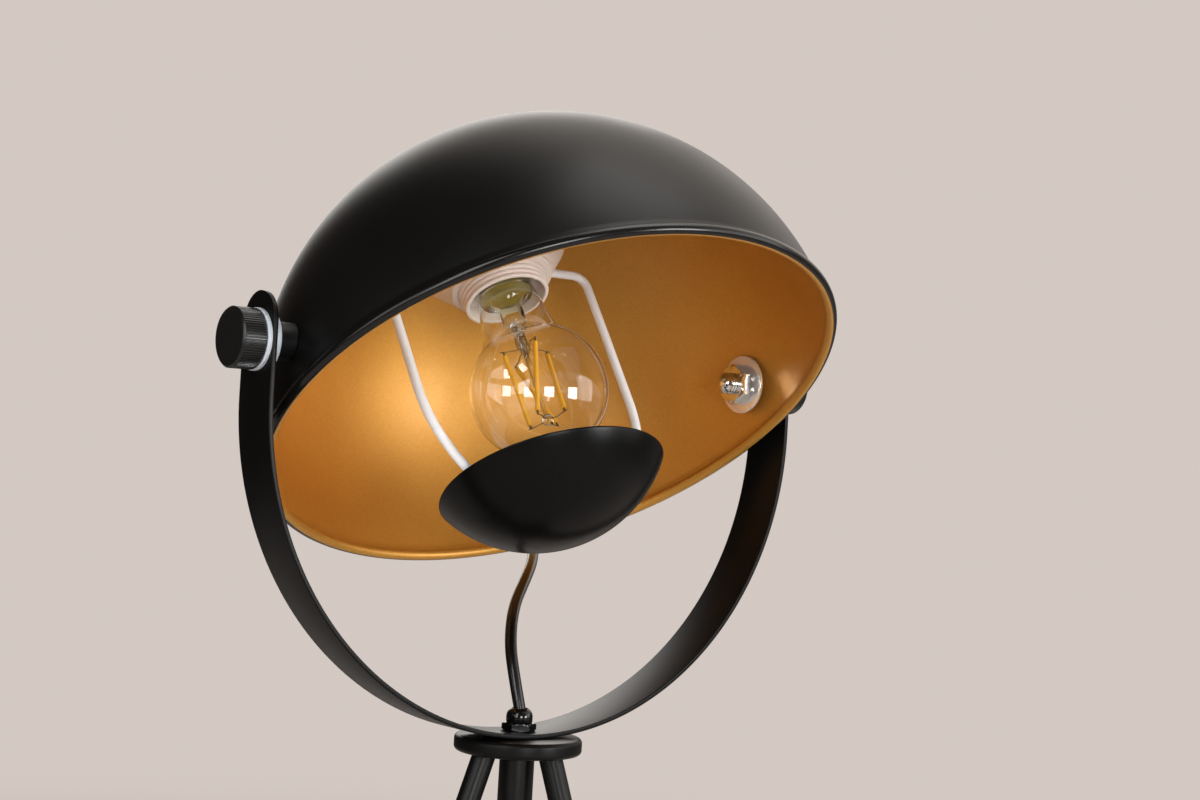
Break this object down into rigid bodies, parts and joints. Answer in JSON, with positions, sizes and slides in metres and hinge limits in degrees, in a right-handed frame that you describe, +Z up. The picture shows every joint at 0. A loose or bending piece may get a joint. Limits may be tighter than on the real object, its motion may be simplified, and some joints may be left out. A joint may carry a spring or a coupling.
{
  "type": "table lamp",
  "caption": "Table lamp with a round metal shade that tilts in a flat-bar yoke on a three-legged stand, a wire frame and a bowl in front of the bulb, and a corded switch and plug.",
  "frame": {"origin": "on the table under the middle of the stem, at the centre of the lamp's base", "axes": "+Z up, X along the tilt axis with the left knob at -X, the shade opens towards -Y and down"},
  "size_m": [0.2988, 0.3163, 0.5075],
  "materials": {
    "black_paint": "satin black powder coat",
    "shade_paint": "satin black outside, matt gold inside",
    "white_paint": "white painted wire",
    "zinc": "bright zinc plated steel",
    "nylon": "pale natural nylon",
    "black_plastic": "black moulded plastic",
    "gland_plastic": "glossy black nylon",
    "holder_plastic": "pinkish beige thermoset",
    "ceramic": "off-white insulating core",
    "brass": "plain brass",
    "nickel": "nickel plated shell",
    "clear_glass": "clear glass",
    "filament": "yellow phosphor coating",
    "rubber": "soft black rubber",
    "cord": "glossy black PVC sheath",
    "lead_red": "insulated single leads"
  },
  "bodies": {
    "stand": {"top_disc": "black_paint", "yoke_strap": "black_paint", "stem_tube": "black_paint", "stem_insert": "zinc", "stem_bush": "black_plastic", "stem_relief": "rubber", "stem_cord": "cord", "gland_body": "gland_plastic", "gland_nut": "gland_plastic", "outer_washers": "nylon", "inner_washers": "nylon", "head_cable": "cord", "stem_lead": "cord", "middle_lead": "cord", "plug_lead": "cord", "cord_coil": "cord", "coil_tie": "rubber", "switch_lower": "black_plastic", "switch_upper": "black_plastic", "switch_reliefs": "rubber", "plug_body": "black_plastic", "plug_relief": "rubber", "plug_pins": "nickel", "lead_ends": "cord", "leg_tube_1": "black_paint", "foot_cap_1": "rubber", "leg_tube_2": "black_paint", "foot_cap_2": "rubber", "leg_tube_3": "black_paint", "foot_cap_3": "rubber"},
    "shade": {"shade_shell": "shade_paint", "wire_frame": "white_paint", "glare_cap": "black_paint", "spacer_bushes": "black_plastic", "pivot_studs": "zinc", "zinc_washers": "zinc", "hex_nuts": "zinc", "support_tube": "zinc", "apex_lock_nut": "zinc", "apex_cap_nut": "black_paint", "holder_ring": "holder_plastic", "holder_collar": "holder_plastic", "screw_shell": "brass", "holder_core": "ceramic", "centre_contact": "brass", "holder_cap": "holder_plastic", "terminals": "brass", "exit_gland": "gland_plastic", "exit_nut": "gland_plastic", "holder_leads": "lead_red"},
    "knob_left": {"knob_left": "black_plastic"},
    "knob_right": {"knob_right": "black_plastic"},
    "bulb": {"bulb_glass": "clear_glass", "bulb_base": "nickel", "bulb_insulator": "black_plastic", "bulb_contact": "nickel", "bulb_stem": "clear_glass", "bulb_filaments": "filament", "bulb_wires": "nickel"},
    "rocker": {"switch_rocker": "black_plastic"}
  },
  "joints": [
    {"name": "shade_tilt", "type": "hinge", "parent": "stand", "child": "shade", "pos_m": [0, 0, 0.4], "axis": [-1, 0, 0], "range_deg": [-34, 66], "deforming": ["head_cable"]},
    {"name": "knob_left_turn", "type": "hinge", "parent": "stand", "child": "knob_left", "pos_m": [-0.1437, 0, 0.4], "axis": [-1, 0, 0], "range_deg": [0, 360]},
    {"name": "knob_right_turn", "type": "hinge", "parent": "stand", "child": "knob_right", "pos_m": [0.1437, 0, 0.4], "axis": [1, 0, 0], "range_deg": [0, 360]},
    {"name": "bulb_turn", "type": "hinge", "parent": "shade", "child": "bulb", "pos_m": [-0.0034, -0.00466, 0.38843], "axis": [0, -0.5583, -0.8296], "range_deg": [0, 360]},
    {"name": "switch_rock", "type": "hinge", "parent": "stand", "child": "rocker", "pos_m": [0.022, 0.114, 0.0145], "axis": [1, 0, 0], "range_deg": [0, 14]}
  ]
}
